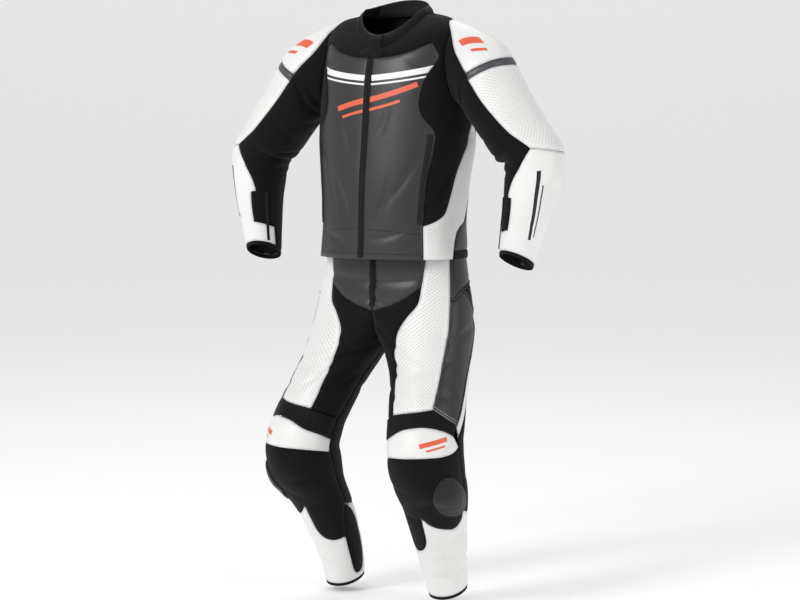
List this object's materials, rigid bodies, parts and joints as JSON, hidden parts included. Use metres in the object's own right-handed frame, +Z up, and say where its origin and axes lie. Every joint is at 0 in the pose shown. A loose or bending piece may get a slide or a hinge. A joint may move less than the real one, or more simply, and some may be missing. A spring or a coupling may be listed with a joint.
{
  "type": "motorcycle race suit",
  "caption": "Two-piece leather race suit, filled out as worn with nobody inside, with accordion knees, knee sliders and a stand collar.",
  "frame": {"origin": "middle of the neck opening, where the wearer's neck and shoulders hold the suit up", "axes": "+Z up along the body, -Y towards the suit's front, +X towards the wearer's left"},
  "size_m": [0.9308, 0.3714, 1.4237],
  "materials": {
    "leather_anthracite": "satin",
    "leather_perforated_white": "satin",
    "leather_white": "satin",
    "reflective_band": "satin",
    "stretch_black": "matte",
    "leather_black": "satin",
    "lining_mesh": "matte",
    "zip_black": "matte",
    "slider_rubber": "satin"
  },
  "bodies": {
    "root": {"front_left": "leather_anthracite", "yoke_left": "stretch_black", "side_left": "leather_perforated_white", "front_right": "leather_anthracite", "yoke_right": "stretch_black", "side_right": "leather_perforated_white", "back_yoke": "stretch_black", "back": "leather_anthracite", "back_hem": "leather_black", "sleeve_cap_left": "leather_white", "sleeve_cap_right": "leather_white", "sleeve_band_left": "reflective_band", "sleeve_band_right": "reflective_band", "sleeve_outer_left": "leather_white", "sleeve_outer_right": "leather_white", "forearm_left": "leather_white", "forearm_right": "leather_white", "sleeve_inner_left": "stretch_black", "sleeve_inner_right": "stretch_black", "cuff_left": "leather_black", "cuff_right": "leather_black", "fly_left": "leather_anthracite", "fly_right": "leather_anthracite", "thigh_front_left": "leather_perforated_white", "thigh_front_right": "leather_perforated_white", "hip_left": "leather_anthracite", "hip_right": "leather_anthracite", "thigh_outer_left": "leather_anthracite", "thigh_outer_right": "leather_anthracite", "thigh_flash_left": "leather_perforated_white", "thigh_flash_right": "leather_perforated_white", "inner_thigh_left": "stretch_black", "inner_thigh_right": "stretch_black", "seat_left": "stretch_black", "seat_right": "stretch_black", "knee_left": "leather_white", "knee_right": "leather_white", "shin_left": "leather_black", "shin_right": "leather_black", "calf_left": "leather_white", "calf_right": "leather_white", "calf_gusset_left": "stretch_black", "calf_gusset_right": "stretch_black", "hem_left": "leather_black", "hem_right": "leather_black", "collar": "leather_black", "collar_rim": "leather_black", "collar_lining": "lining_mesh", "collar_flap": "leather_black", "main_zip": "zip_black", "fly_zip": "zip_black", "pocket_welt_left": "zip_black", "pocket_welt_right": "zip_black", "cuff_zip_left": "zip_black", "cuff_zip_right": "zip_black", "knee_ribs_left": "leather_black", "knee_ribs_right": "leather_black", "knee_slider_left": "slider_rubber", "knee_slider_right": "slider_rubber"}
  },
  "joints": []
}
